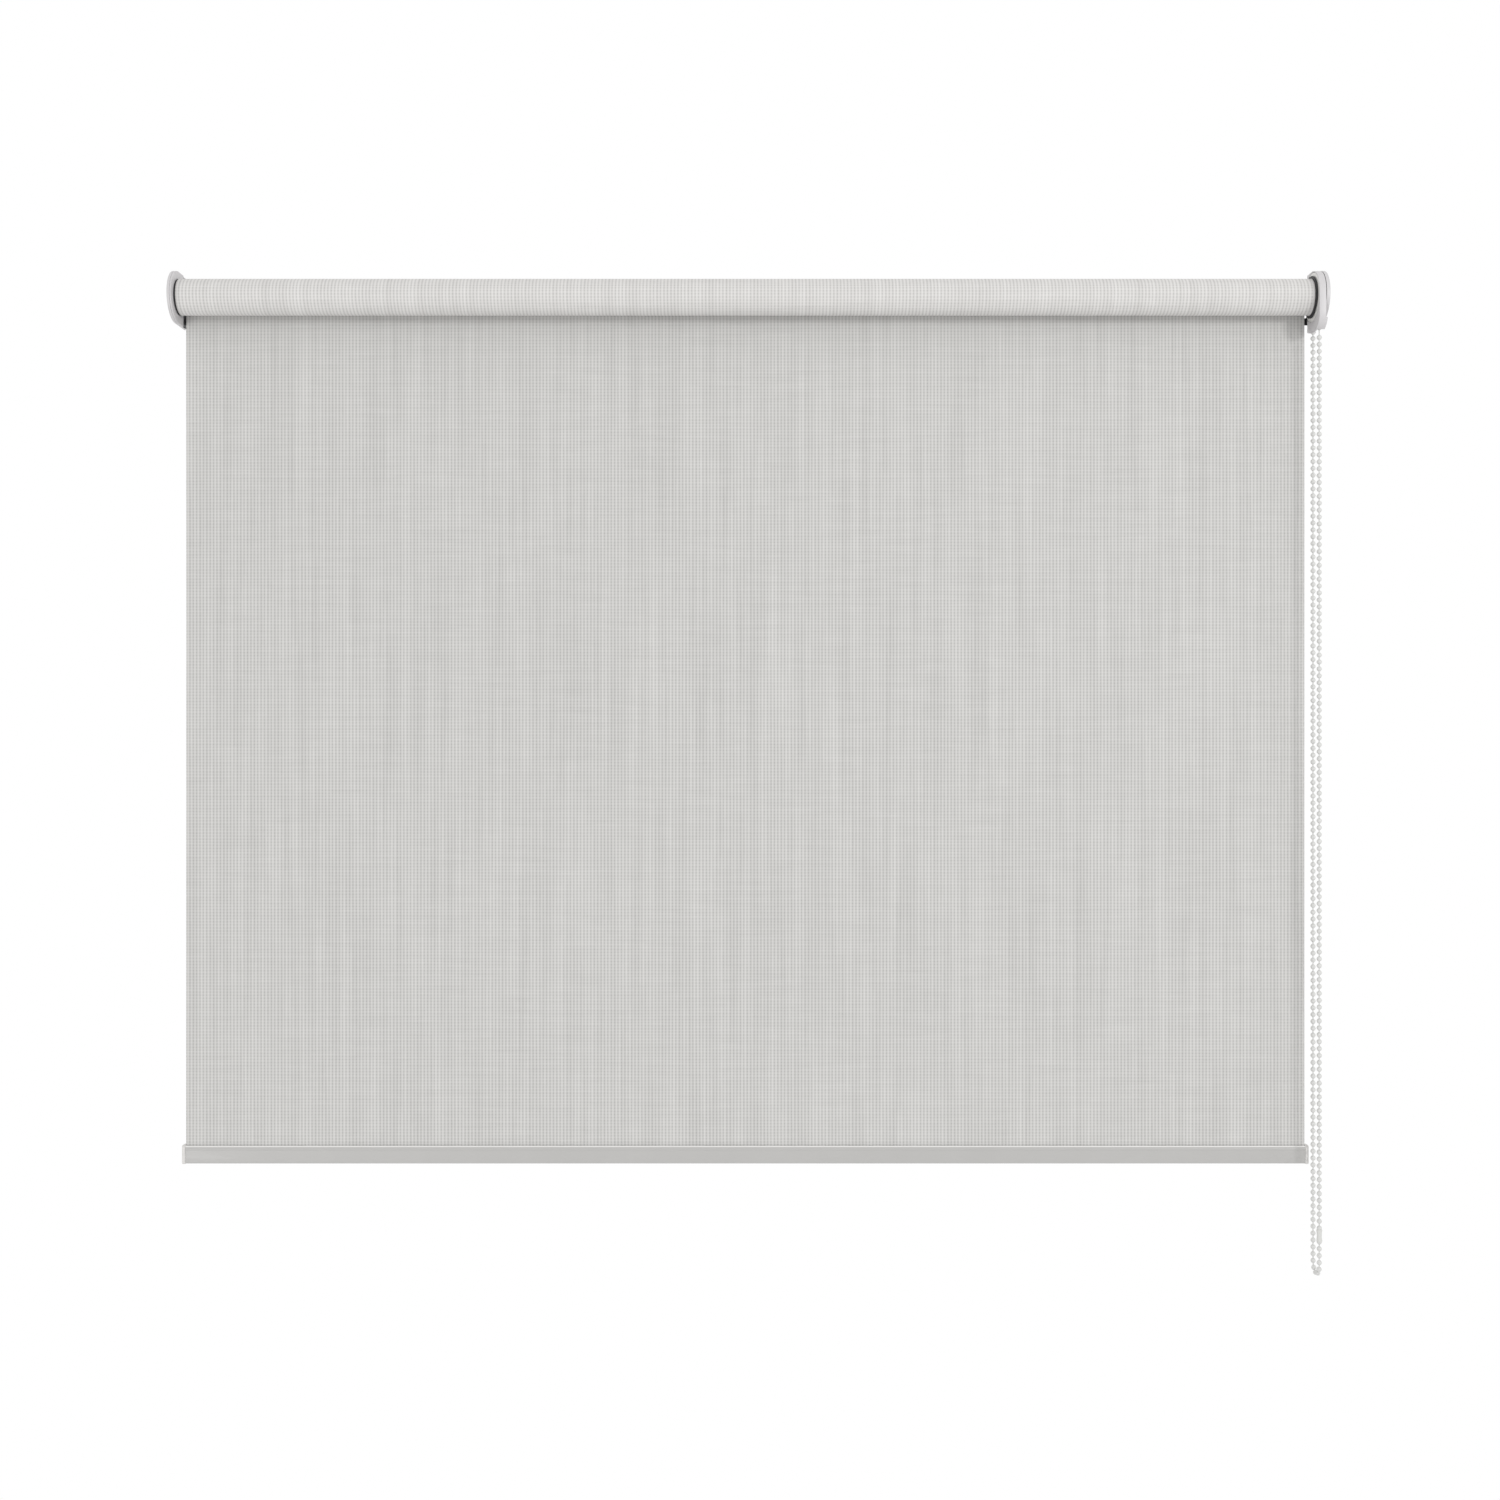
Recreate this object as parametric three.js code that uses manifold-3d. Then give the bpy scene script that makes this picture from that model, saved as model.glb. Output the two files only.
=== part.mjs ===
// Roller blind with a bead-chain drive, millimetres, +Z up.
// Origin: mid-span on the wall, at the height of the roller's axis. The room is towards -Y.
import * as THREE from 'three';
import { mergeVertices } from 'three/addons/utils/BufferGeometryUtils.js';
import Module from 'manifold-3d';

const wasm = await Module();
wasm.setup();

// Overall sizes
const SPAN = 1003.4;            // outer face to outer face of the two covers
const DROP = 744.5;             // roller axis down to the top of the bottom rail
const WALL_TO_AXIS = 28;

// Clearances
const GAP = 0.3;                // between pieces that touch or nearly touch
const KEY_GAP = 0.35;

// Brackets and covers
const SHEET = 1.0;              // bracket steel
const COVER_WALL = 1.1;
const COVER_R = 22.4;
const COVER_RIM = 0.9;
const COVER_INNER_BACK = 13.6;  // how far behind the axis the cover's inner wall reaches
const FLANGE_WIDTH = 15;
const FLANGE_STEP = 3.2;        // how far the wall flange stops short of the side plate's edge
const SLOT_WIDTH = 4.0;
const SLOT_LENGTH = 8.0;
const SLOT_SPACING = 20;

// Tube and fabric
const TUBE_R = 14;
const TUBE_WALL = 1.2;
const KEY_WIDTH = 1.6;
const KEY_HEIGHT = 1.4;
const GROOVE_WIDTH = 3.6;
const GROOVE_DEPTH = 1.8;
const WOUND = 1.8;              // thickness of the fabric wound on the tube
const FABRIC_T = 0.5;
const SHEET_TOP = -6;           // where the flat sheet has left the roll

// Idle end
const PLUG_STEP = 0.5;          // how far the plug's flange stays inside the roll's edge
const PLUG_FLANGE_T = 1.1;
const PLUG_LENGTH = 38;
const PLUG_NOSE = 4.5;          // solid nose that the pin's collar stops against
const PIN_R = 2.9;
const PIN_COLLAR = 2.5;         // how far the collar stands out from the pin
const PIN_COLLAR_T = 2.0;
const CHAMBER_ROOM = 1.0;
const RETAINER_T = 1.6;
const STEM_R = 2.0;
const BUSH_WALL = 1.5;
const BUSH_FLANGE = 2.2;
const END_ROOM = 0.6;           // between the idle plug's flange and the cover

// Drive end
const CORE_R = 5.2;
const CORE_SQUARE = 8;
const BALL_R = 2.25;
const BALL_PITCH = 6;
const POCKETS = 9;
const POCKET_FLARE = 1.6;
const CORD_R = 0.8;
const BALL_SIDE_ROOM = 0.7;     // beyond the touching gap, between the chain and the steel
const BALL_GUARD_ROOM = 0.4;
const GUARD_WALL = 1.0;
const GUARD_SHELL = 1.2;
const GUARD_RIM = 1.0;          // left round the opening in the guard's inner wall
const GUARD_TO_FABRIC = 1.8;
const CHIN_BOTTOM = -31.5;
const CROWN_STEP = 2.0;         // how far the crown's flange stands outside the roll's edge
const CROWN_FLANGE_T = 1.0;
const BARREL_WALL = 1.2;
const SPRING_ROOM = 0.7;
const BARREL_LENGTH = 26;
const CROWN_LENGTH = 36;
const WIRE_R = 0.4;

// Bottom rail
const RAIL_HEIGHT = 15.7;
const RAIL_DEPTH = 8;
const RAIL_AHEAD = 2.2;         // the rail's front face, in front of the fabric's back
const RAIL_WALL = 1.1;
const RAIL_SLOT = 1.6;
const SPLINE_R = 1.9;
const CAP_T = 2.8;
const CAP_PROUD = 0.5;

// Hanging chain
const CHAIN_EXIT_Z = -34;
const CONNECTOR_TOP = -812;
const CONNECTOR_LENGTH = 11;
const CONNECTOR_R = 2.5;

// Places worked out from the sizes above
const AXIS_Y = -WALL_TO_AXIS;
const OUTER_X = SPAN / 2;
const PLATE_OUTER_X = OUTER_X - COVER_WALL - GAP;
const PLATE_INNER_X = PLATE_OUTER_X - SHEET;
const COVER_INNER_X = PLATE_INNER_X - GAP - COVER_WALL;
const GUARD_SEAM = COVER_INNER_X;
const PLATE_R = COVER_R - COVER_RIM - GAP;
const FLANGE_HEIGHT = 2 * (PLATE_R - FLANGE_STEP);
const CHAIN_X = PLATE_INNER_X - GAP - BALL_SIDE_ROOM - BALL_R;
const GUARD_X = CHAIN_X - BALL_R - BALL_GUARD_ROOM - GUARD_WALL;
const FABRIC_LEFT = -COVER_INNER_X + END_ROOM + PLUG_FLANGE_T;
const FABRIC_RIGHT = GUARD_X - GUARD_TO_FABRIC;
const ROLL_R = TUBE_R + GAP + WOUND;
const PLUG_FLANGE_R = ROLL_R - PLUG_STEP;
const PIN_COLLAR_R = PIN_R + PIN_COLLAR;
const CHAMBER_R = PIN_COLLAR_R + CHAMBER_ROOM;
const BUSH_R = PIN_R + GAP + BUSH_WALL;
const GUARD_OPENING_R = COVER_R - GUARD_RIM;
const WHEEL_FLANGE_R = GUARD_OPENING_R - 0.4;
const CROWN_FLANGE_R = ROLL_R + CROWN_STEP;
const SPRING_CHAMBER_R = CORE_R + GAP + 2 * WIRE_R + SPRING_ROOM;
const BARREL_R = SPRING_CHAMBER_R + BARREL_WALL;
const RAIL_FRONT = ROLL_R - RAIL_AHEAD;
const TUBE_ID_R = TUBE_R - TUBE_WALL;
const INSERT_R = TUBE_ID_R - GAP;
const PITCH_R = BALL_PITCH / (2 * Math.sin(Math.PI / POCKETS));
const FABRIC_Y = AXIS_Y + ROLL_R - FABRIC_T;
const RAIL_TOP = -DROP;

// ---- Shaping helpers -------------------------------------------------------------------

// Solid for joining and cutting, from a closed three.js geometry.
function solidOf(geometry) {
  const plain = geometry.index ? geometry.toNonIndexed() : geometry.clone();
  plain.deleteAttribute('normal');
  plain.deleteAttribute('uv');
  const merged = mergeVertices(plain, 1e-4);
  const vertProperties = new Float32Array(merged.attributes.position.array);
  const triVerts = new Uint32Array(merged.index.array);
  return new wasm.Manifold(new wasm.Mesh({ numProp: 3, vertProperties, triVerts }));
}

function geometryOf(solid) {
  const mesh = solid.getMesh();
  const geometry = new THREE.BufferGeometry();
  geometry.setAttribute('position', new THREE.BufferAttribute(new Float32Array(mesh.vertProperties), 3));
  geometry.setIndex(new THREE.BufferAttribute(new Uint32Array(mesh.triVerts), 1));
  return geometry;
}

// A flat outline in the Y-Z plane, about the roller's axis, pushed along X from x0 to x1.
function plate(outline, x0, x1, curveSegments = 12) {
  const geometry = new THREE.ExtrudeGeometry(outline, {
    depth: x1 - x0, bevelEnabled: false, curveSegments,
  });
  // The outline's x becomes -Y (towards the room) and its y becomes Z.
  const turn = new THREE.Matrix4().makeBasis(
    new THREE.Vector3(0, -1, 0), new THREE.Vector3(0, 0, 1), new THREE.Vector3(-1, 0, 0),
  );
  geometry.applyMatrix4(turn);
  geometry.translate(x1, AXIS_Y, 0);
  return geometry;
}

// A turned shape about the roller's axis: points are [x along the axis, radius].
function turned(points, segments = 40) {
  const profile = points.map(([x, r]) => new THREE.Vector2(r, x));
  const geometry = new THREE.LatheGeometry(profile, segments);
  const turn = new THREE.Matrix4().makeBasis(
    new THREE.Vector3(0, 1, 0), new THREE.Vector3(1, 0, 0), new THREE.Vector3(0, 0, -1),
  );
  geometry.applyMatrix4(turn);
  geometry.translate(0, AXIS_Y, 0);
  return geometry;
}

function rod(x0, x1, radius, segments = 32) {
  return turned([[x0, 0], [x0, radius], [x1, radius], [x1, 0]], segments);
}

function box(x0, x1, y0, y1, z0, z1) {
  const geometry = new THREE.BoxGeometry(x1 - x0, y1 - y0, z1 - z0);
  geometry.translate((x0 + x1) / 2, (y0 + y1) / 2, (z0 + z1) / 2);
  return geometry;
}

function cut(body, ...tools) {
  return tools.reduce((left, tool) => left.subtract(solidOf(tool)), solidOf(body));
}

function mirroredX(geometry) {
  const copy = geometry.index ? geometry.toNonIndexed() : geometry.clone();
  copy.scale(-1, 1, 1);
  const p = copy.attributes.position;
  for (let i = 0; i < p.count; i += 3) {
    const b = new THREE.Vector3().fromBufferAttribute(p, i + 1);
    const c = new THREE.Vector3().fromBufferAttribute(p, i + 2);
    p.setXYZ(i + 1, c.x, c.y, c.z);
    p.setXYZ(i + 2, b.x, b.y, b.z);
  }
  return copy;
}

const materials = {
  steel: new THREE.MeshStandardMaterial({ color: 0x3a3a3c, roughness: 0.5, metalness: 0.9 }),
  cover: new THREE.MeshStandardMaterial({ color: 0xd2d0d2, roughness: 0.45 }),
  dark: new THREE.MeshStandardMaterial({ color: 0x2b2b2d, roughness: 0.5 }),
  acetal: new THREE.MeshStandardMaterial({ color: 0xdad9d6, roughness: 0.4 }),
  aluminium: new THREE.MeshStandardMaterial({ color: 0xb9babd, roughness: 0.4, metalness: 0.9 }),
  rail: new THREE.MeshStandardMaterial({ color: 0xc9c7c4, roughness: 0.45 }),
  fabric: new THREE.MeshStandardMaterial({ color: 0xd8d6d2, roughness: 0.9 }),
  springSteel: new THREE.MeshStandardMaterial({ color: 0x8d8f92, roughness: 0.35, metalness: 1 }),
  chain: new THREE.MeshStandardMaterial({ color: 0xe4e4e2, roughness: 0.35 }),
};

const blind = new THREE.Group();

function add(name, shape, material, parent = blind) {
  const mesh = new THREE.Mesh(shape.isBufferGeometry ? shape : geometryOf(shape), material);
  mesh.name = name;
  parent.add(mesh);
  return mesh;
}

// ---- Brackets --------------------------------------------------------------------------

// Round nose towards the room, straight back to `back` behind the axis.
function noseOutline(radius, back) {
  const outline = new THREE.Shape();
  outline.moveTo(-back, -radius);
  outline.lineTo(0, -radius);
  outline.absarc(0, 0, radius, -Math.PI / 2, Math.PI / 2, false);
  outline.lineTo(-back, radius);
  outline.closePath();
  return outline;
}

function slotOutline() {
  const half = (SLOT_LENGTH - SLOT_WIDTH) / 2;
  const slot = new THREE.Path();
  slot.absarc(half, 0, SLOT_WIDTH / 2, -Math.PI / 2, Math.PI / 2, false);
  slot.absarc(-half, 0, SLOT_WIDTH / 2, Math.PI / 2, Math.PI * 1.5, false);
  return slot;
}

// Wall flange on the right-hand side, its slots running along X.
function wallFlange() {
  const outline = new THREE.Shape();
  const half = FLANGE_HEIGHT / 2;
  const inner = PLATE_OUTER_X - FLANGE_WIDTH;
  outline.moveTo(inner, -half);
  outline.lineTo(PLATE_OUTER_X, -half);
  outline.lineTo(PLATE_OUTER_X, half);
  outline.lineTo(inner, half);
  outline.closePath();
  for (const z of [-SLOT_SPACING / 2, SLOT_SPACING / 2]) {
    const slot = slotOutline();
    const centre = new THREE.Vector2(inner + FLANGE_WIDTH * 0.45, z);
    outline.holes.push(new THREE.Path(slot.getPoints(6).map((p) => p.add(centre))));
  }
  const geometry = new THREE.ExtrudeGeometry(outline, { depth: SHEET, bevelEnabled: false });
  geometry.rotateX(Math.PI / 2);
  return geometry;
}

function sidePlate(hole) {
  const side = plate(noseOutline(PLATE_R, WALL_TO_AXIS), PLATE_INNER_X, PLATE_OUTER_X, 16);
  return cut(side, hole).add(solidOf(wallFlange()));
}

// Cap that slips over the steel from the front, with an outer wall and a rim.
function coverShell(innerX) {
  const shell = plate(noseOutline(COVER_R, WALL_TO_AXIS - GAP), innerX, OUTER_X, 20);
  const pocket = plate(
    noseOutline(COVER_R - COVER_RIM, WALL_TO_AXIS + 1), PLATE_INNER_X - GAP, PLATE_OUTER_X + GAP, 20,
  );
  return cut(shell, pocket);
}

function addBrackets() {
  const pinHole = rod(PLATE_INNER_X - 1, PLATE_OUTER_X + 1, BUSH_R + GAP, 28);
  const idlePlate = sidePlate(pinHole);
  add('left_bracket', mirroredX(geometryOf(idlePlate)), materials.steel);

  const half = CORE_SQUARE / 2 + GAP;
  const squareHole = box(
    PLATE_INNER_X - 1, PLATE_OUTER_X + 1, AXIS_Y - half, AXIS_Y + half, -half, half,
  );
  add('right_bracket', sidePlate(squareHole), materials.steel);

  // The left cover has an inner wall too, open round the bush and stopped short of the wall.
  const bushOpening = rod(COVER_INNER_X - 1, PLATE_INNER_X + 0.1, BUSH_R + BUSH_FLANGE + 4 * GAP, 28);
  const backCut = box(
    COVER_INNER_X - 1, PLATE_INNER_X - GAP, AXIS_Y + COVER_INNER_BACK, 1, -COVER_R - 1, COVER_R + 1,
  );
  const leftCover = coverShell(COVER_INNER_X)
    .subtract(solidOf(bushOpening))
    .subtract(solidOf(backCut));
  add('left_cover', mirroredX(geometryOf(leftCover)), materials.cover);

  const rim = GUARD_SEAM + GAP;
  const rightCover = cut(
    plate(noseOutline(COVER_R, WALL_TO_AXIS - GAP), rim, OUTER_X, 20),
    plate(noseOutline(COVER_R - COVER_RIM, WALL_TO_AXIS + 1), rim - 1, PLATE_OUTER_X + GAP, 20),
  );
  add('right_cover', rightCover, materials.cover);
}

// ---- Idle end --------------------------------------------------------------------------

const PLUG_BACK = FABRIC_LEFT - GAP;
const PLUG_FACE = PLUG_BACK - PLUG_FLANGE_T;
const PIN_TIP = -PLATE_OUTER_X;
const CHAMBER_FRONT = PLUG_FACE + PLUG_NOSE;
const PLUG_END = FABRIC_LEFT + PLUG_LENGTH;

function keySlots(x0, x1) {
  const half = KEY_WIDTH / 2 + KEY_GAP;
  const floor = TUBE_ID_R - KEY_HEIGHT - KEY_GAP;
  return [
    box(x0, x1, AXIS_Y - half, AXIS_Y + half, floor, TUBE_ID_R + 2),
    box(x0, x1, AXIS_Y - half, AXIS_Y + half, -TUBE_ID_R - 2, -floor),
  ];
}

// Room for the groove that is pressed into the tube on its wall side.
function grooveRelief(x0, x1) {
  const half = GROOVE_WIDTH / 2 + TUBE_WALL + GAP;
  const floor = TUBE_R - GROOVE_DEPTH - TUBE_WALL - GAP;
  return box(x0, x1, AXIS_Y + floor, AXIS_Y + TUBE_R + 1, -half, half);
}

function addIdleEnd() {
  const plugBody = turned([
    [PLUG_FACE, PIN_R + GAP], [PLUG_FACE, PLUG_FLANGE_R], [PLUG_BACK, PLUG_FLANGE_R],
    [PLUG_BACK, INSERT_R], [PLUG_END, INSERT_R], [PLUG_END, CHAMBER_R],
    [CHAMBER_FRONT, CHAMBER_R], [CHAMBER_FRONT, PIN_R + GAP], [PLUG_FACE, PIN_R + GAP],
  ]);
  const past = PLUG_END + 1;
  const slots = [...keySlots(PLUG_BACK, past), grooveRelief(PLUG_BACK, past)];
  add('idle_plug', cut(plugBody, ...slots), materials.dark);

  const collar = CHAMBER_FRONT + GAP;
  const stemEnd = collar + PIN_COLLAR_T + 14;
  add('idle_pin', turned([
    [PIN_TIP, 0], [PIN_TIP, PIN_R - 0.8], [PIN_TIP + 0.8, PIN_R], [collar, PIN_R],
    [collar, PIN_COLLAR_R], [collar + PIN_COLLAR_T, PIN_COLLAR_R],
    [collar + PIN_COLLAR_T, STEM_R], [stemEnd, STEM_R], [stemEnd, 0],
  ], 28), materials.springSteel);

  const retainer = PLUG_END - RETAINER_T - GAP;
  add('spring_retainer', rod(retainer, retainer + RETAINER_T, CHAMBER_R - GAP, 28), materials.dark);
  add('idle_spring', coil(
    collar + PIN_COLLAR_T + GAP, retainer - GAP, STEM_R + GAP + 2 * WIRE_R, 7, WIRE_R,
  ), materials.springSteel);

  const flange = PLATE_INNER_X - GAP;
  const bush = turned([
    [flange - 0.9, PIN_R + GAP], [flange - 0.9, BUSH_R + BUSH_FLANGE], [flange, BUSH_R + BUSH_FLANGE],
    [flange, BUSH_R], [PLATE_OUTER_X, BUSH_R], [PLATE_OUTER_X, PIN_R + GAP],
    [flange - 0.9, PIN_R + GAP],
  ], 28);
  add('pin_bush', mirroredX(bush), materials.acetal);
}

class Helix extends THREE.Curve {
  constructor(x0, x1, radius, turns) {
    super();
    this.x0 = x0;
    this.x1 = x1;
    this.radius = radius;
    this.turns = turns;
  }

  getPoint(t, target = new THREE.Vector3()) {
    const angle = 2 * Math.PI * this.turns * t;
    return target.set(
      this.x0 + (this.x1 - this.x0) * t,
      AXIS_Y + this.radius * Math.cos(angle),
      this.radius * Math.sin(angle),
    );
  }
}

// Coil of round wire about the axis, its wire ends inside x0 to x1.
function coil(x0, x1, radius, turns, wire) {
  return pipe(new Helix(x0 + wire, x1 - wire, radius, turns), wire, turns * 10, 5);
}

function pipe(curve, radius, steps, sides) {
  const section = new THREE.Shape();
  for (let i = 0; i < sides; i += 1) {
    const angle = (2 * Math.PI * i) / sides;
    const x = radius * Math.cos(angle);
    const y = radius * Math.sin(angle);
    if (i === 0) section.moveTo(x, y);
    else section.lineTo(x, y);
  }
  section.closePath();
  return new THREE.ExtrudeGeometry(section, { steps, extrudePath: curve, bevelEnabled: false });
}

// ---- Tube and fabric -------------------------------------------------------------------

const TUBE_LEFT = FABRIC_LEFT + GAP;
const TUBE_RIGHT = FABRIC_RIGHT - GAP;

// Section of the tube: a round wall with two keys inside and a pressed groove outside.
function tubeOutline() {
  const halfKey = KEY_WIDTH / 2;
  const keyTip = TUBE_ID_R - KEY_HEIGHT;
  const halfGroove = GROOVE_WIDTH / 2;
  const halfBump = halfGroove + TUBE_WALL;
  const grooveFloor = TUBE_R - GROOVE_DEPTH;
  const bumpFloor = grooveFloor - TUBE_WALL;
  const atGroove = Math.asin(halfGroove / TUBE_R);
  const atBump = Math.asin(halfBump / TUBE_ID_R);
  const atKey = Math.asin(halfKey / TUBE_ID_R);

  const outline = new THREE.Shape();
  outline.absarc(0, 0, TUBE_R, -Math.PI + atGroove, Math.PI - atGroove, false);
  outline.lineTo(-grooveFloor, halfGroove);
  outline.lineTo(-grooveFloor, -halfGroove);
  outline.closePath();

  const bore = new THREE.Path();
  bore.absarc(0, 0, TUBE_ID_R, -Math.PI + atBump, -Math.PI / 2 - atKey, false);
  bore.lineTo(-halfKey, -keyTip);
  bore.lineTo(halfKey, -keyTip);
  bore.absarc(0, 0, TUBE_ID_R, -Math.PI / 2 + atKey, Math.PI / 2 - atKey, false);
  bore.lineTo(halfKey, keyTip);
  bore.lineTo(-halfKey, keyTip);
  bore.absarc(0, 0, TUBE_ID_R, Math.PI / 2 + atKey, Math.PI - atBump, false);
  bore.lineTo(-bumpFloor, halfBump);
  bore.lineTo(-bumpFloor, -halfBump);
  bore.closePath();
  outline.holes.push(bore);
  return outline;
}

function addTubeAndFabric() {
  const halfGroove = GROOVE_WIDTH / 2;
  const grooveFloor = AXIS_Y + TUBE_R - GROOVE_DEPTH;
  const tube = plate(tubeOutline(), TUBE_LEFT, TUBE_RIGHT, 24);
  add('roller_tube', tube, materials.aluminium);

  add('tube_spline', box(
    TUBE_LEFT + 2, TUBE_RIGHT - 2, grooveFloor + GAP, AXIS_Y + TUBE_R - GAP / 2,
    -halfGroove + GAP, halfGroove - GAP,
  ), materials.acetal);

  add('fabric_roll', turned([
    [FABRIC_LEFT, TUBE_R + GAP], [FABRIC_LEFT, ROLL_R], [FABRIC_RIGHT, ROLL_R],
    [FABRIC_RIGHT, TUBE_R + GAP], [FABRIC_LEFT, TUBE_R + GAP],
  ], 48), materials.fabric);

  add('hanging_fabric', box(
    FABRIC_LEFT, FABRIC_RIGHT, FABRIC_Y, FABRIC_Y + FABRIC_T, RAIL_TOP + GAP, SHEET_TOP,
  ), materials.fabric);
}

// ---- Drive end -------------------------------------------------------------------------

const WHEEL_FACE = GUARD_X + 0.2;
const WHEEL_FLANGE_BACK = GUARD_X + GUARD_WALL + 0.1;
const WHEEL_END = CHAIN_X + BALL_R + GAP;
const BARREL_END = WHEEL_FACE - BARREL_LENGTH;
const CORE_END = BARREL_END - GAP;

function addCrown() {
  const face = FABRIC_RIGHT + GAP;
  const inner = FABRIC_RIGHT - CROWN_LENGTH;
  const body = turned([
    [inner, BARREL_R + GAP], [inner, INSERT_R], [face, INSERT_R], [face, CROWN_FLANGE_R],
    [face + CROWN_FLANGE_T, CROWN_FLANGE_R], [face + CROWN_FLANGE_T, BARREL_R + GAP],
    [inner, BARREL_R + GAP],
  ]);
  const slots = [...keySlots(inner - 1, face), grooveRelief(inner - 1, face)];
  add('drive_crown', cut(body, ...slots), materials.dark);
}

function pocketAngle(index) {
  return Math.PI / 2 + (index * 2 * Math.PI) / POCKETS;
}

function addChainWheel() {
  const bore = CORE_R + GAP;
  const rim = PITCH_R + BALL_R * 0.62;
  const chamberEnd = WHEEL_FACE - 1;
  const blank = turned([
    [BARREL_END, SPRING_CHAMBER_R], [BARREL_END, BARREL_R], [WHEEL_FACE, BARREL_R],
    [WHEEL_FACE, WHEEL_FLANGE_R], [WHEEL_FLANGE_BACK, WHEEL_FLANGE_R], [WHEEL_FLANGE_BACK, rim],
    [WHEEL_END, rim], [WHEEL_END, bore], [chamberEnd, bore], [chamberEnd, SPRING_CHAMBER_R],
    [BARREL_END, SPRING_CHAMBER_R],
  ], 36);
  // The cord runs straight from ball to ball, so halfway it lies nearer the axis than the balls.
  const halfCord = CORD_R + GAP;
  const floor = PITCH_R * Math.cos(Math.PI / POCKETS) - halfCord;
  const cordGroove = turned([
    [CHAIN_X - halfCord, floor], [CHAIN_X - halfCord, rim + 1],
    [CHAIN_X + halfCord, rim + 1], [CHAIN_X + halfCord, floor], [CHAIN_X - halfCord, floor],
  ], 18);
  const cuts = [cordGroove];
  for (let i = 0; i < POCKETS; i += 1) {
    const angle = pocketAngle(i);
    // The pocket's seat, and a wider mouth that lets each ball in and out as the wheel turns.
    for (const [extra, outwards] of [[1.5 * GAP, 0], [4 * GAP, POCKET_FLARE]]) {
      const pocket = new THREE.SphereGeometry(BALL_R + extra, 10, 7);
      const r = PITCH_R + outwards;
      pocket.translate(CHAIN_X, AXIS_Y + r * Math.cos(angle), r * Math.sin(angle));
      cuts.push(pocket);
    }
  }
  add('chain_wheel', cut(blank, ...cuts), materials.acetal);
}

function addClutch() {
  const plateFace = PLATE_INNER_X - GAP;
  const half = CORE_SQUARE / 2;
  const pilot = rod(CORE_END - 1, CORE_END + 14, 1.5, 16);
  const core = solidOf(rod(CORE_END, plateFace, CORE_R, 36))
    .add(solidOf(box(
      WHEEL_END + GAP, PLATE_OUTER_X, AXIS_Y - half, AXIS_Y + half, -half, half,
    )))
    .subtract(solidOf(pilot));
  add('clutch_core', core, materials.dark);

  const coilR = CORE_R + GAP + WIRE_R;
  const free = WHEEL_FACE - 1 - GAP - (BARREL_END + GAP);
  const first = BARREL_END + GAP;
  const length = (free - 2 * GAP) / 2;
  add('wrap_spring_inner', coil(first, first + length, coilR, 7, WIRE_R), materials.springSteel);
  const second = first + length + 2 * GAP;
  add('wrap_spring_outer', coil(second, second + length, coilR, 7, WIRE_R), materials.springSteel);

  const washer = CORE_END - GAP;
  add('retaining_washer', turned([
    [washer - 1, 1.6], [washer - 1, BARREL_R - GAP], [washer, BARREL_R - GAP], [washer, 1.6],
    [washer - 1, 1.6],
  ], 28), materials.springSteel);
  const head = washer - 1 - GAP;
  add('core_screw', turned([
    [head - 1.6, 0], [head - 1.6, 2.6], [head - 1.0, 3.2], [head, 3.2], [head, 1.2],
    [CORE_END + 12, 1.2], [CORE_END + 12.6, 0],
  ], 20), materials.springSteel);
}

// Round nose that runs down into a chin; `inset` draws the same outline further in.
function guardOutline(inset = 0) {
  const r = COVER_R - inset;
  const back = COVER_INNER_BACK - inset;
  const bottom = CHIN_BOTTOM + inset;
  const outline = new THREE.Shape();
  outline.moveTo(-back, bottom + 3.5);
  outline.quadraticCurveTo(0, bottom - 1, 11, bottom + 0.5);
  outline.quadraticCurveTo(r, bottom + 4, r, -16);
  outline.lineTo(r, 0);
  outline.absarc(0, 0, r, 0, Math.PI / 2, false);
  outline.lineTo(-back, r);
  outline.closePath();
  return outline;
}

function addGuard() {
  const chinOuter = CHAIN_X + BALL_R + GAP;
  const inside = GUARD_X + GUARD_WALL;
  const chin = solidOf(plate(guardOutline(), GUARD_X, chinOuter + 1, 12))
    .subtract(solidOf(box(GUARD_X - 1, chinOuter + 2, AXIS_Y - 60, 60, -COVER_R - GAP, 60)));
  const opening = rod(GUARD_X - 1, inside + 0.1, GUARD_OPENING_R, 48);
  const mouth = PITCH_R + BALL_R + 4 * GAP;
  const guard = solidOf(plate(guardOutline(), GUARD_X, GUARD_SEAM, 12))
    .add(chin)
    .subtract(solidOf(plate(guardOutline(GUARD_SHELL), inside, chinOuter, 12)))
    .subtract(solidOf(opening))
    .subtract(solidOf(box(
      inside, chinOuter, AXIS_Y - mouth, AXIS_Y + mouth, CHIN_BOTTOM - 5, CHIN_BOTTOM + 8,
    )));
  add('chain_guard', guard, materials.cover);
}

// ---- Chain -----------------------------------------------------------------------------

// Steps fall evenly between the listed points, so short spans get the close steps.
class Route extends THREE.CatmullRomCurve3 {
  getUtoTmapping(u) {
    return u;
  }
}

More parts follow.
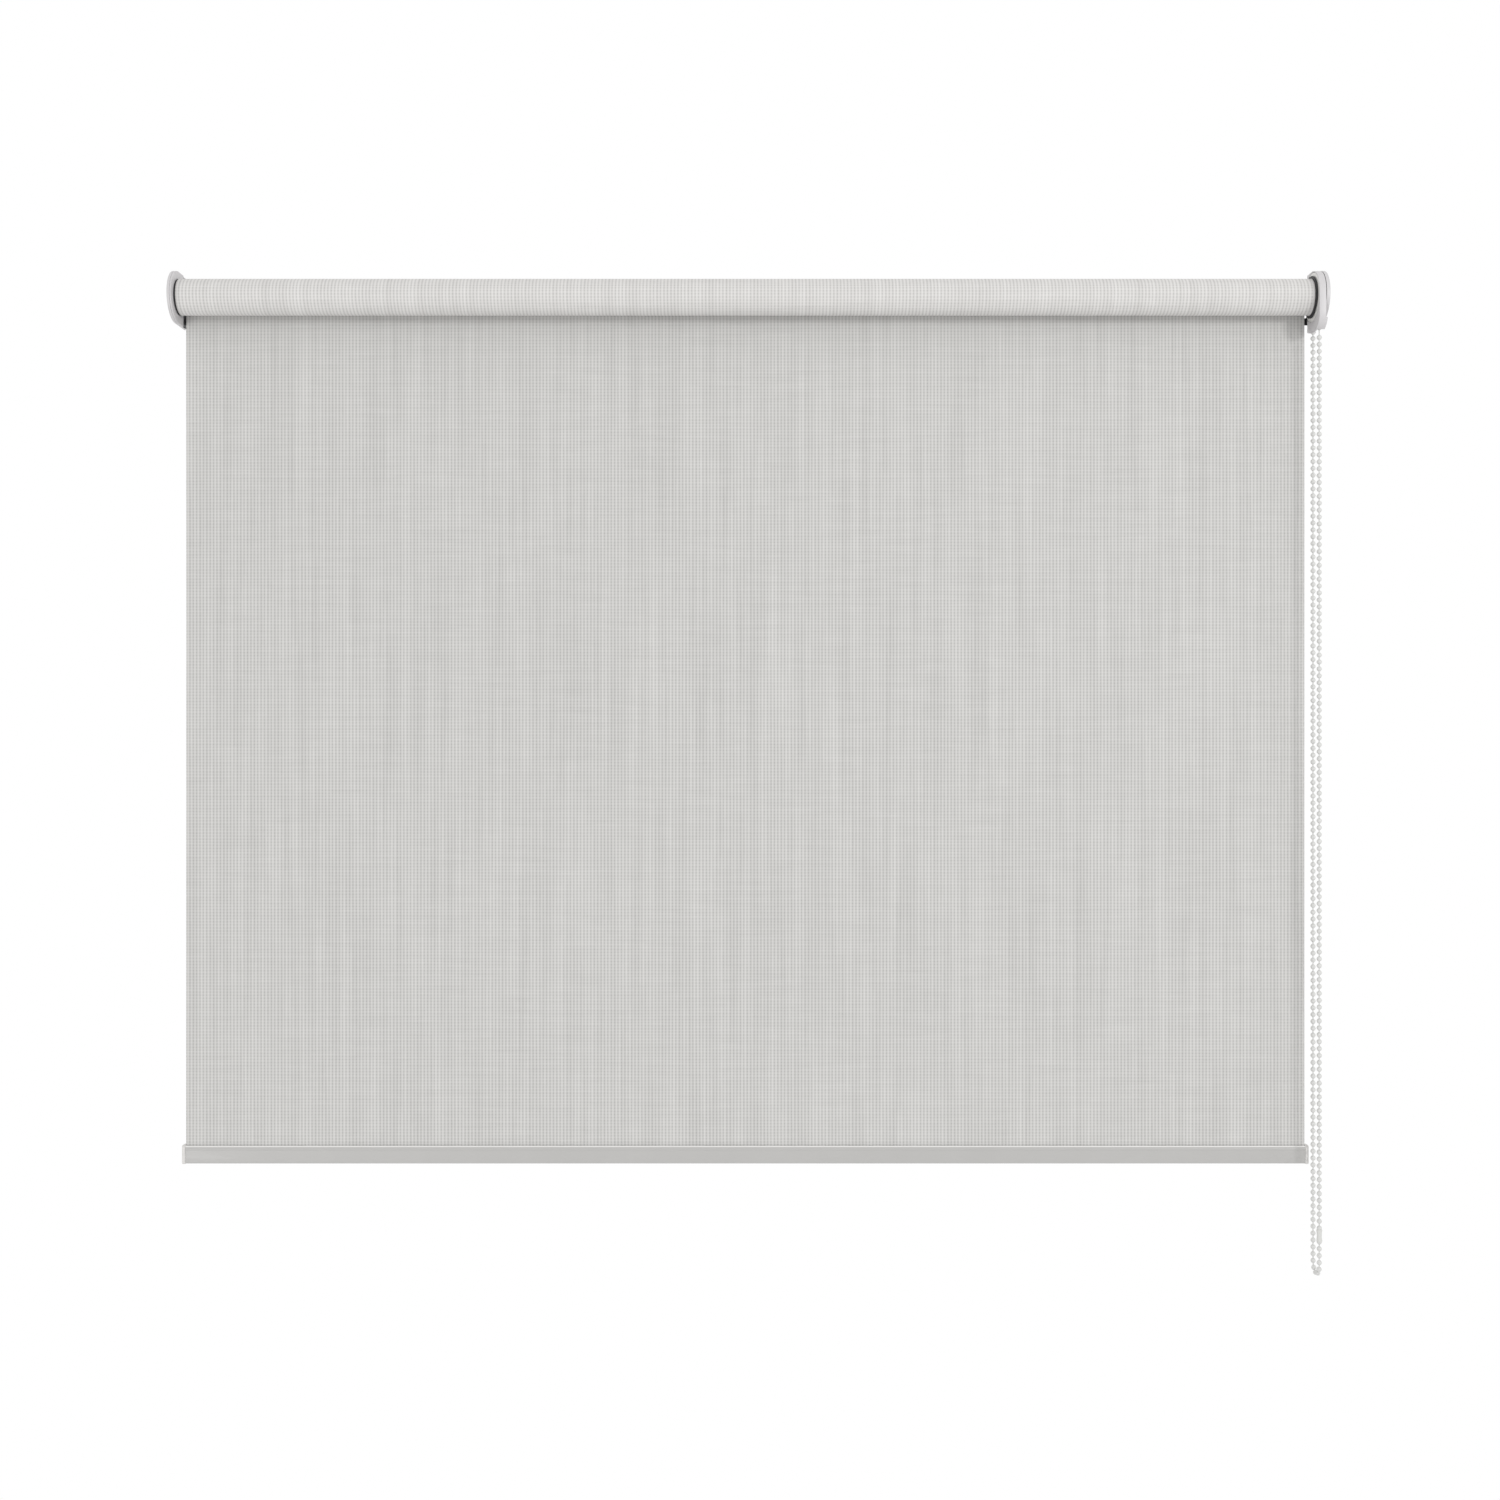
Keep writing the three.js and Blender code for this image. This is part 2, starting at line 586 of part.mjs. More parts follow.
// Hand-chosen points of the free chain: [behind the axis, height].
const FRONT_STRAND = [
  [-8.8, -34], [-8.8, -80], [-8.8, -160], [-8.8, -260], [-8.8, -360], [-8.8, -460],
  [-8.8, -560], [-8.8, -660], [-8.8, -750], [-8.8, -811.7],
];
const LOOP_AND_REAR_STRAND = [
  [-8.8, -823.3], [-8.8, -834], [-8.8, -843.8], [-8.1, -847.2], [-6.2, -850], [-3.4, -851.9],
  [0, -852.6], [3.4, -851.9], [6.2, -850], [8.1, -847.2], [8.8, -843.8], [8.8, -830],
  [8.8, -790], [8.8, -700], [8.8, -600], [8.8, -500], [8.8, -400], [8.8, -300], [8.8, -200],
  [8.8, -100], [8.8, -34],
];

function strand(points, stepsPerSpan) {
  const route = new Route(
    points.map(([back, z]) => new THREE.Vector3(CHAIN_X, AXIS_Y + back, z)), false, 'centripetal',
  );
  return pipe(route, BALL_R, (points.length - 1) * stepsPerSpan, 8);
}

function addFreeChain() {
  add('chain_front_strand', strand(FRONT_STRAND, 2), materials.chain);
  add('chain_loop', strand(LOOP_AND_REAR_STRAND, 2), materials.chain);

  const clip = new THREE.CylinderGeometry(CONNECTOR_R, CONNECTOR_R, CONNECTOR_LENGTH, 16);
  clip.rotateX(Math.PI / 2);
  clip.translate(CHAIN_X, AXIS_Y - 8.8, CONNECTOR_TOP - CONNECTOR_LENGTH / 2);
  add('chain_connector', clip, materials.cover);
}

function addChainOnWheel() {
  const centres = [];
  const lowest = CHAIN_EXIT_Z + GAP;
  const engaged = [-2, -1, 0, 1, 2].map(pocketAngle);
  const tangentZ = PITCH_R * Math.sin(engaged[0]);
  const straight = [];
  for (let z = tangentZ - BALL_PITCH; z > lowest + BALL_R; z -= BALL_PITCH) straight.push(z);
  for (const z of [...straight].reverse()) centres.push([PITCH_R, z]);
  for (const a of engaged) centres.push([PITCH_R * Math.cos(a), PITCH_R * Math.sin(a)]);
  for (const z of straight) centres.push([-PITCH_R, z]);

  const line = [[PITCH_R, lowest], ...centres, [-PITCH_R, lowest]];
  const path = new Route(
    line.map(([back, z]) => new THREE.Vector3(CHAIN_X, AXIS_Y + back, z)), false, 'centripetal',
  );
  let chain = solidOf(pipe(path, CORD_R, line.length - 1, 6));
  for (const [back, z] of centres) {
    const ball = new THREE.IcosahedronGeometry(BALL_R, 1);
    ball.translate(CHAIN_X, AXIS_Y + back, z);
    chain = chain.add(solidOf(ball));
  }
  add('chain_on_wheel', chain, materials.chain);
}

// ---- Bottom rail -----------------------------------------------------------------------

function railOutline(grow = 0) {
  const front = -RAIL_FRONT + grow;
  const back = -RAIL_FRONT - RAIL_DEPTH - grow;
  const top = RAIL_TOP + grow;
  const bottom = RAIL_TOP - RAIL_HEIGHT - grow;
  const r = 1.2;
  const outline = new THREE.Shape();
  outline.moveTo(back + r, bottom);
  outline.lineTo(front - r, bottom);
  outline.absarc(front - r, bottom + r, r, -Math.PI / 2, 0, false);
  outline.lineTo(front, top - r);
  outline.absarc(front - r, top - r, r, 0, Math.PI / 2, false);
  outline.lineTo(back + r, top);
  outline.absarc(back + r, top - r, r, Math.PI / 2, Math.PI, false);
  outline.lineTo(back, bottom + r);
  outline.absarc(back + r, bottom + r, r, Math.PI, Math.PI * 1.5, false);
  return outline;
}

function addBottomRail() {
  const rail = new THREE.Group();
  blind.add(rail);
  const x0 = FABRIC_LEFT;
  const x1 = FABRIC_RIGHT;
  const y0 = AXIS_Y + RAIL_FRONT + RAIL_WALL;
  const y1 = AXIS_Y + RAIL_FRONT + RAIL_DEPTH - RAIL_WALL;
  const slotY = FABRIC_Y + FABRIC_T / 2;
  const channelTop = RAIL_TOP - RAIL_WALL;
  const channelBottom = channelTop - 2 * SPLINE_R - 2 * GAP;
  const cavityTop = channelBottom - RAIL_WALL;
  const cavityBottom = RAIL_TOP - RAIL_HEIGHT + RAIL_WALL;
  add('bottom_rail', cut(
    plate(railOutline(), x0, x1, 4),
    box(x0 - 1, x1 + 1, y0, y1, channelBottom, channelTop),
    box(x0 - 1, x1 + 1, slotY - RAIL_SLOT / 2, slotY + RAIL_SLOT / 2, channelTop - 1, RAIL_TOP + 1),
    box(x0 - 1, x1 + 1, y0, y1, cavityBottom, cavityTop),
  ), materials.rail, rail);

  const spline = new THREE.CylinderGeometry(SPLINE_R, SPLINE_R, x1 - x0 - 4, 12);
  spline.rotateZ(Math.PI / 2);
  spline.translate((x0 + x1) / 2, (y0 + y1) / 2, (channelTop + channelBottom) / 2);
  add('bottom_spline', spline, materials.acetal, rail);

  const tongue = (a, b) => box(a, b, y0 + GAP, y1 - GAP, cavityBottom + GAP, cavityTop - GAP);
  const left = solidOf(plate(railOutline(CAP_PROUD), x0 - GAP - CAP_T, x0 - GAP, 4))
    .add(solidOf(tongue(x0 - GAP - 1, x0 + 12)));
  add('rail_cap_left', left, materials.cover, rail);
  const right = solidOf(plate(railOutline(CAP_PROUD), x1 + GAP, x1 + GAP + CAP_T, 4))
    .add(solidOf(tongue(x1 - 12, x1 + GAP + 1)));
  add('rail_cap_right', right, materials.cover, rail);
}

addBrackets();
addIdleEnd();
addTubeAndFabric();
addCrown();
addChainWheel();
addClutch();
addGuard();
addChainOnWheel();
addFreeChain();
addBottomRail();

export default blind;
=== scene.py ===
import math

import bmesh
import bpy
from mathutils import Matrix, Vector


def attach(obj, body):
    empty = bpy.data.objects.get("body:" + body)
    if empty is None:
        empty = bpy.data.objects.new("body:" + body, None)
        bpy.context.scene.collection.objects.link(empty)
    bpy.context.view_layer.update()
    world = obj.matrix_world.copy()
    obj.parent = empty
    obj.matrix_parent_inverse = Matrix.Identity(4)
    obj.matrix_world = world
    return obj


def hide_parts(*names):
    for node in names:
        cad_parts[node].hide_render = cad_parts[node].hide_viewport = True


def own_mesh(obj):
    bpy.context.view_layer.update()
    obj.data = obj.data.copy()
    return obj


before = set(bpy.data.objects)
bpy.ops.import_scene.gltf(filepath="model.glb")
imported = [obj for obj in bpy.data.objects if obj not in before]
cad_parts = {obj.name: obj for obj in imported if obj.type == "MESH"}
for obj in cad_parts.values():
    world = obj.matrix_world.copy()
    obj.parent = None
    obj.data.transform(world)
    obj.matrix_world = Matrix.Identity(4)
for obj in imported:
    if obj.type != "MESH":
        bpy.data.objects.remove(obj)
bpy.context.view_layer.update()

MM = 0.001

# ---- Camera ----------------------------------------------------------------------------
# It stands in the room on the blind's centre line, a little above half height, and looks
# straight at the wall.

camera_data = bpy.data.cameras.new("camera")
camera_data.sensor_width = 36.0
camera_data.lens = 43.94
camera_data.clip_end = 20.0
camera = bpy.data.objects.new("camera", camera_data)
camera.location = (1.3 * MM, -1628 * MM, -395.5 * MM)
camera.rotation_euler = (math.radians(90), 0, 0)
bpy.context.collection.objects.link(camera)
bpy.context.scene.camera = camera
bpy.context.scene.view_settings.view_transform = "Standard"

# ---- Bead chain ------------------------------------------------------------------------
# An endless chain of 4.5 mm balls, 6 mm apart, moulded in white acetal onto a polyester
# cord. It comes out of the guard's chin, hangs in a loop and goes back in.

BALL_R = 2.25 * MM
BALL_PITCH = 6.0 * MM
CORD_R = 0.55 * MM
POCKETS = 9
AXIS_Y = -28 * MM
CHAIN_X = 496.05 * MM
PITCH_R = BALL_PITCH / (2 * math.sin(math.pi / POCKETS))

# The free chain's route in millimetres: how far behind the roller's axis, and how high.
CHAIN_ROUTE = [
    (-8.8, -34), (-8.8, -80), (-8.8, -160), (-8.8, -260), (-8.8, -360), (-8.8, -460),
    (-8.8, -560), (-8.8, -660), (-8.8, -750), (-8.8, -811.7), (-8.8, -823.3), (-8.8, -834),
    (-8.8, -843.8), (-8.1, -847.2), (-6.2, -850), (-3.4, -851.9), (0, -852.6), (3.4, -851.9),
    (6.2, -850), (8.1, -847.2), (8.8, -843.8), (8.8, -830), (8.8, -790), (8.8, -700),
    (8.8, -600), (8.8, -500), (8.8, -400), (8.8, -300), (8.8, -200), (8.8, -100), (8.8, -34),
]


def linear(hex_colour):
    """An sRGB hex value as the linear colour that a shader reads."""
    parts = [int(hex_colour[i : i + 2], 16) / 255 for i in (1, 3, 5)]
    parts = [c / 12.92 if c <= 0.04045 else ((c + 0.055) / 1.055) ** 2.4 for c in parts]
    return (*parts, 1.0)


def add_node(tree, kind, settings=None, inputs=None):
    """Adds a node, sets its properties, and sets or links its inputs."""
    node = tree.nodes.new(kind)
    for name, value in (settings or {}).items():
        setattr(node, name, value)
    for name, value in (inputs or {}).items():
        if isinstance(value, bpy.types.NodeSocket):
            tree.links.new(value, node.inputs[name])
        else:
            node.inputs[name].default_value = value
    return node


def start_material(name, values):
    """A material with the shader's constants set: returns it, its tree and its shader."""
    material = bpy.data.materials.new(name)
    material.use_nodes = True
    tree = material.node_tree
    shader = tree.nodes["Principled BSDF"]
    for socket, value in values.items():
        shader.inputs[socket].default_value = value
    return material, tree, shader


def moulded_plastic(name, light, dark, roughness, grain_mm, grain_depth_mm, values=None):
    """Injection-moulded plastic: a spark-eroded grain, and faint flow marks in the colour."""
    settings = {"Roughness": roughness, "IOR": 1.48}
    settings.update(values or {})
    material, tree, shader = start_material(name, settings)
    place = add_node(tree, "ShaderNodeTexCoord").outputs["Object"]
    flow = add_node(tree, "ShaderNodeTexNoise", None, {
        "Vector": place, "Scale": 1 / (14 * MM), "Detail": 3.0, "Roughness": 0.6,
    })
    colour = add_node(tree, "ShaderNodeMix", {"data_type": "RGBA"}, {
        0: flow.outputs["Fac"], 6: linear(dark), 7: linear(light),
    })
    tree.links.new(colour.outputs[2], shader.inputs["Base Color"])
    grain = add_node(tree, "ShaderNodeTexNoise", None, {
        "Vector": place, "Scale": 1 / (grain_mm * MM), "Detail": 2.0,
    })
    gloss = add_node(tree, "ShaderNodeMapRange", None, {
        "Value": grain.outputs["Fac"], "From Min": 0.3, "From Max": 0.7,
        "To Min": roughness - 0.05, "To Max": roughness + 0.07,
    })
    tree.links.new(gloss.outputs["Result"], shader.inputs["Roughness"])
    bump = add_node(tree, "ShaderNodeBump", None, {
        "Height": grain.outputs["Fac"], "Strength": 0.4, "Distance": grain_depth_mm * MM,
    })
    tree.links.new(bump.outputs["Normal"], shader.inputs["Normal"])
    return material


def place_piece(name, bm, material, body, nodes=(), sharp=32):
    """Makes the finished mesh an object that rides on its body and stands for its nodes."""
    mesh = bpy.data.meshes.new(name)
    bm.to_mesh(mesh)
    bm.free()
    mesh.shade_smooth()
    mesh.set_sharp_from_angle(angle=math.radians(sharp))
    mesh.materials.append(material)
    piece = bpy.data.objects.new(name, mesh)
    bpy.context.collection.objects.link(piece)
    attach(piece, body)
    if nodes:
        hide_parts(*nodes)
    return piece


def chain_point(behind, height):
    return Vector((CHAIN_X, AXIS_Y + behind * MM, height * MM))


def along(route, spacing, start=0.0):
    """Points on the route, evenly spaced along its length, each with its direction."""
    found = []
    wanted = start
    passed = 0.0
    for a, b in zip(route, route[1:]):
        span = (b - a).length
        while wanted <= passed + span:
            found.append((a.lerp(b, (wanted - passed) / span), (b - a).normalized()))
            wanted += spacing
        passed += span
    return found


def add_ball(bm, centre, radius):
    bmesh.ops.create_icosphere(
        bm, subdivisions=2, radius=radius, matrix=Matrix.Translation(centre)
    )


def add_cord(bm, line, radius, sides=6):
    """A round cord through the points of line: one ring of vertices at each, then bridged."""
    rings = []
    for index, point in enumerate(line):
        ahead = line[min(index + 1, len(line) - 1)] - line[max(index - 1, 0)]
        turn = ahead.to_track_quat("Z", "X").to_matrix().to_4x4()
        made = bmesh.ops.create_circle(
            bm, cap_ends=index in (0, len(line) - 1), segments=sides, radius=radius,
            matrix=Matrix.Translation(point) @ turn,
        )
        edges = {e for v in made["verts"] for e in v.link_edges}
        rings.append(edges)
    for lower, upper in zip(rings, rings[1:]):
        bmesh.ops.bridge_loops(bm, edges=[*lower, *upper])


chain_plastic = moulded_plastic("moulded_acetal_chain", "#cfcfcd", "#c4c4c2", 0.3, 0.9, 0.01)
free_route = [chain_point(*p) for p in CHAIN_ROUTE]

chain_mesh = bmesh.new()
for centre, _ in along(free_route, BALL_PITCH, BALL_PITCH / 2):
    add_ball(chain_mesh, centre, BALL_R)
add_cord(chain_mesh, free_route, CORD_R)
bead_chain = place_piece(
    "bead_chain", chain_mesh, chain_plastic, "brackets",
    ("chain_front_strand", "chain_loop"), sharp=80,
)

# ---- Chain connector -------------------------------------------------------------------
# A split acetal clip that snaps round two balls and closes the chain's loop.

CONNECTOR_TOP = -812
CONNECTOR_LENGTH = 11
CONNECTOR_R = 2.5 * MM

clip = bmesh.new()
bmesh.ops.create_cone(
    clip, cap_ends=True, segments=24, radius1=CONNECTOR_R, radius2=CONNECTOR_R,
    depth=CONNECTOR_LENGTH * MM,
)
bmesh.ops.bevel(
    clip, geom=[e for e in clip.edges if abs(e.verts[0].co.z - e.verts[1].co.z) < 1e-6],
    offset=0.9 * MM, offset_type="OFFSET", affect="EDGES", segments=4, profile=0.5, material=-1,
)
# The waist between its two pockets.
for vertex in bmesh.ops.bisect_plane(
    clip, geom=[*clip.verts, *clip.edges, *clip.faces], plane_co=(0, 0, 0), plane_no=(0, 0, 1),
)["geom_cut"]:
    if isinstance(vertex, bmesh.types.BMVert):
        vertex.co.x *= 0.8
        vertex.co.y *= 0.8
bmesh.ops.translate(
    clip, verts=clip.verts, vec=chain_point(-8.8, CONNECTOR_TOP - CONNECTOR_LENGTH / 2)
)
connector_plastic = moulded_plastic(
    "moulded_acetal_clip", "#cfcfcc", "#c4c4c1", 0.35, 0.9, 0.01
)
connector = place_piece(
    "chain_clip", clip, connector_plastic, "brackets",
    ("chain_connector",), sharp=50,
)

# ---- Chain over the wheel --------------------------------------------------------------
# The stretch of the same chain that climbs inside the guard and sits in five of the nine
# pockets of the wheel.

STRAND_BEHIND = 8.8
GUARD_EXIT = -33.7

engaged = [math.pi / 2 + step * 2 * math.pi / POCKETS for step in (-2, -1, 0, 1, 2)]
tangent_height = PITCH_R * math.sin(engaged[0])
straight = []
while tangent_height - (len(straight) + 1) * BALL_PITCH > GUARD_EXIT * MM + BALL_R:
    straight.append(tangent_height - (len(straight) + 1) * BALL_PITCH)
wheel_balls = [Vector((CHAIN_X, AXIS_Y + PITCH_R, z)) for z in reversed(straight)]
for angle in engaged:
    wheel_balls.append(
        Vector((CHAIN_X, AXIS_Y + PITCH_R * math.cos(angle), PITCH_R * math.sin(angle)))
    )
wheel_balls += [Vector((CHAIN_X, AXIS_Y - PITCH_R, z)) for z in straight]

over_wheel = bmesh.new()
for centre in wheel_balls:
    add_ball(over_wheel, centre, BALL_R)
add_cord(
    over_wheel,
    [
        chain_point(STRAND_BEHIND, GUARD_EXIT), *wheel_balls,
        chain_point(-STRAND_BEHIND, GUARD_EXIT),
    ],
    CORD_R,
)
place_piece(
    "chain_over_wheel", over_wheel, chain_plastic, "brackets",
    ("chain_on_wheel",), sharp=80,
)

# ---- Studio ----------------------------------------------------------------------------
# A pale floor below the blind, an even white surround, and two soft lamps: a key on the
# right, a little above the roller, and a weaker fill low on the left.

floor_mesh = bpy.data.meshes.new("floor")
floor_shape = bmesh.new()
bmesh.ops.create_grid(floor_shape, x_segments=1, y_segments=1, size=1.0)
bmesh.ops.scale(floor_shape, verts=floor_shape.verts, vec=(3.0, 2.3, 1.0))
bmesh.ops.translate(floor_shape, verts=floor_shape.verts, vec=(0, -1.7, -1.5))
floor_shape.to_mesh(floor_mesh)
floor_shape.free()
floor = bpy.data.objects.new("floor", floor_mesh)
bpy.context.collection.objects.link(floor)
floor_paint, _, _ = start_material(
    "matt_floor_paint", {"Base Color": linear("#eeeeee"), "Roughness": 0.8}
)
floor_mesh.materials.append(floor_paint)

world = bpy.data.worlds.new("white_surround")
bpy.context.scene.world = world
world.use_nodes = True
world.node_tree.nodes["Background"].inputs["Color"].default_value = (1, 1, 1, 1)
world.node_tree.nodes["Background"].inputs["Strength"].default_value = 1.0


def add_lamp(name, place, aim, size, power):
    lamp_data = bpy.data.lights.new(name, "AREA")
    lamp_data.shape = "SQUARE"
    lamp_data.size = size
    lamp_data.energy = power
    lamp = bpy.data.objects.new(name, lamp_data)
    lamp.location = place
    lamp.rotation_euler = (Vector(aim) - Vector(place)).to_track_quat("-Z", "Y").to_euler()
    bpy.context.collection.objects.link(lamp)


add_lamp("key_lamp", (1.7, -2.4, 0.3), (0, 0, -0.3), 0.5, 19)
add_lamp("fill_lamp", (-1.6, -2.2, -1.3), (0, 0, -0.2), 1.0, 12)

# ---- Steel brackets --------------------------------------------------------------------
# Pressed from 1 mm steel and finished in a dark lacquer: a side plate that carries the
# roller, and a flange with two slots that is screwed to the wall.

lacquered, lacquer_tree, lacquer = start_material(
    "black_lacquered_steel", {"Metallic": 0.0, "IOR": 1.5, "Roughness": 0.42}
)
lacquer_place = add_node(lacquer_tree, "ShaderNodeTexCoord").outputs["Object"]
# Orange peel: the lacquer's slow ripple, about 2 mm across.
peel = add_node(lacquer_tree, "ShaderNodeTexNoise", None, {
    "Vector": lacquer_place, "Scale": 1 / (2 * MM), "Detail": 3.0,
})
lacquer_colour = add_node(lacquer_tree, "ShaderNodeMix", {"data_type": "RGBA"}, {
    0: peel.outputs["Fac"], 6: linear("#1b1b1d"), 7: linear("#2c2c2f"),
})
lacquer_tree.links.new(lacquer_colour.outputs[2], lacquer.inputs["Base Color"])
lacquer_bump = add_node(lacquer_tree, "ShaderNodeBump", None, {
    "Height": peel.outputs["Fac"], "Strength": 0.3, "Distance": 0.03 * MM,
})
lacquer_tree.links.new(lacquer_bump.outputs["Normal"], lacquer.inputs["Normal"])


def refinish(material, *nodes):
    """Gives CAD nodes whose shape is right their own finish."""
    for name in nodes:
        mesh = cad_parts[name].data
        mesh.materials.clear()
        mesh.materials.append(material)


refinish(lacquered, "left_bracket", "right_bracket")

# ---- Bracket covers --------------------------------------------------------------------
# Pale satin ABS caps, 1.1 mm thick, that slip over the steel from the front and hide its
# edge under a rounded rim. The idle one also has an inner wall round the bush.

COVER_R = 22.4 * MM
COVER_WALL = 1.1 * MM
COVER_RIM = 0.9 * MM
COVER_OUTER_X = 501.7 * MM
COVER_BACK = -0.3 * MM
COVER_INNER_X = 498.0 * MM
COVER_LINER_BACK = AXIS_Y + 13.6 * MM
RIM_INNER_X = 498.3 * MM
BUSH_OPENING_R = 8.1 * MM


def nose_loop(bm, radius, back, x, segments=72):
    """A closed loop in the Y-Z plane: a half circle to the front, then straight to back."""
    turn = Matrix.Rotation(math.radians(90), 4, "Y")
    made = bmesh.ops.create_circle(
        bm, segments=segments, radius=radius,
        matrix=Matrix.Translation((x, AXIS_Y, 0)) @ turn,
    )["verts"]
    behind = [v for v in made if v.co.y > AXIS_Y + 1e-6]
    behind.sort(key=lambda v: v.co.z)
    # The rear half goes to a straight line, its ends being the two rear corners.
    for index, vertex in enumerate(behind):
        share = index / (len(behind) - 1)
        vertex.co.y = back
        vertex.co.z = -radius + 2 * radius * share
    return made


def loop_edges(verts):
    chosen = set(verts)
    return [e for v in verts for e in v.link_edges if e.other_vert(v) in chosen and e.verts[0] is v]


def nose_cup(x_open, x_closed, radius, back, rim, wall):
    """A flat-backed nose with a closed wall at x_closed and a rim round its edge, cut off
    square at the wall so that the steel can slide in."""
    bm = bmesh.new()
    loop = nose_loop(bm, radius, back + 4 * MM, x_closed)
    closed = bmesh.ops.contextual_create(bm, geom=loop_edges(loop))["faces"]
    grown = bmesh.ops.extrude_face_region(bm, geom=closed)["geom"]
    moved = [g for g in grown if isinstance(g, bmesh.types.BMVert)]
    bmesh.ops.translate(bm, verts=moved, vec=(x_open - x_closed, 0, 0))
    bmesh.ops.recalc_face_normals(bm, faces=bm.faces)
    side = 1 if x_open < x_closed else -1
    mouth = [f for f in bm.faces if f.normal.x * side < -0.9]
    bmesh.ops.inset_region(bm, faces=mouth, thickness=rim, use_even_offset=True)
    depth = abs(x_closed - x_open) - wall
    bmesh.ops.translate(
        bm, verts=list({v for f in mouth for v in f.verts}), vec=(side * depth, 0, 0)
    )
    bmesh.ops.bisect_plane(
        bm, geom=[*bm.verts, *bm.edges, *bm.faces], plane_co=(0, back, 0),
        plane_no=(0, 1, 0), clear_outer=True,
    )
    open_edges = [e for e in bm.edges if e.is_boundary]
    bmesh.ops.contextual_create(bm, geom=open_edges)
    bmesh.ops.recalc_face_normals(bm, faces=bm.faces)
    return bm


def round_sharp_edges(bm, offset, segments=3, angle=50):
    edges = [
        e for e in bm.edges if e.is_manifold and e.calc_face_angle(0) > math.radians(angle)
    ]
    bmesh.ops.bevel(
        bm, geom=edges, offset=offset, offset_type="OFFSET", affect="EDGES",
        segments=segments, profile=0.5, material=-1, clamp_overlap=True,
    )


cover_abs = moulded_plastic("moulded_satin_abs", "#c6c4c5", "#bfbdbe", 0.42, 0.5, 0.015)

for side, name, body_nodes in ((-1, "left_cap", ("left_cover",)), (1, "right_cap", ("right_cover",))):
    open_x = side * (RIM_INNER_X if side > 0 else COVER_INNER_X + COVER_WALL)
    cap = nose_cup(
        open_x, side * COVER_OUTER_X, COVER_R, COVER_BACK, COVER_RIM, COVER_WALL
    )
    round_sharp_edges(cap, 0.35 * MM)
    if side < 0:
        # The inner wall, with the round opening for the bush.
        outer = nose_loop(cap, COVER_R, COVER_LINER_BACK, side * COVER_INNER_X)
        turn = Matrix.Rotation(math.radians(90), 4, "Y")
        inner = bmesh.ops.create_circle(
            cap, segments=72, radius=BUSH_OPENING_R,
            matrix=Matrix.Translation((side * COVER_INNER_X, AXIS_Y, 0)) @ turn,
        )["verts"]
        liner = bmesh.ops.bridge_loops(
            cap, edges=[*loop_edges(outer), *loop_edges(inner)]
        )["faces"]
        grown = bmesh.ops.extrude_face_region(cap, geom=liner)["geom"]
        bmesh.ops.translate(
            cap, verts=[g for g in grown if isinstance(g, bmesh.types.BMVert)],
            vec=(side * COVER_WALL, 0, 0),
        )
        bmesh.ops.recalc_face_normals(cap, faces=cap.faces)
    place_piece(name, cap, cover_abs, "brackets", body_nodes)

# ---- Blind fabric ----------------------------------------------------------------------
# Coated polyester in a ribbed screen weave, 0.4 mm thick, with thick yarns down the drop and
# finer ones across. It gives a matt, faintly striped face that shows a dark thing close
# behind it through the small openings between its yarns.

FABRIC_LEFT = -496.3 * MM
FABRIC_RIGHT = 490.6 * MM
FABRIC_T = 0.4 * MM
ROLL_R = 16.1 * MM
TUBE_CLEAR_R = 14.3 * MM
LAYER_PITCH = 0.44 * MM
RAIL_TOP = -744.5 * MM
SHEET_IN_SLOT = 2.5 * MM
RIB_HEIGHT = 0.3
RUNG_HEIGHT = 0.11
WARP_WANDER = 1.6
WEFT_WANDER = 1.6
SHEET_WAVE = 0.22 * MM
EDGE_CURL = 0.5 * MM
CURL_WIDTH = 9 * MM
# The real yarns lie 2.1 mm apart. They are drawn 3 mm apart, so that they still show from
# across a room.
WARP_PITCH = 3.0 * MM
WEFT_PITCH = 2.7 * MM


def maths(tree, operation, first, second=None, clamp=False):
    node = add_node(tree, "ShaderNodeMath", {"operation": operation, "use_clamp": clamp})
    for index, value in enumerate((first, second)):
        if isinstance(value, bpy.types.NodeSocket):
            tree.links.new(value, node.inputs[index])
        elif value is not None:
            node.inputs[index].default_value = value
    return node.outputs[0]


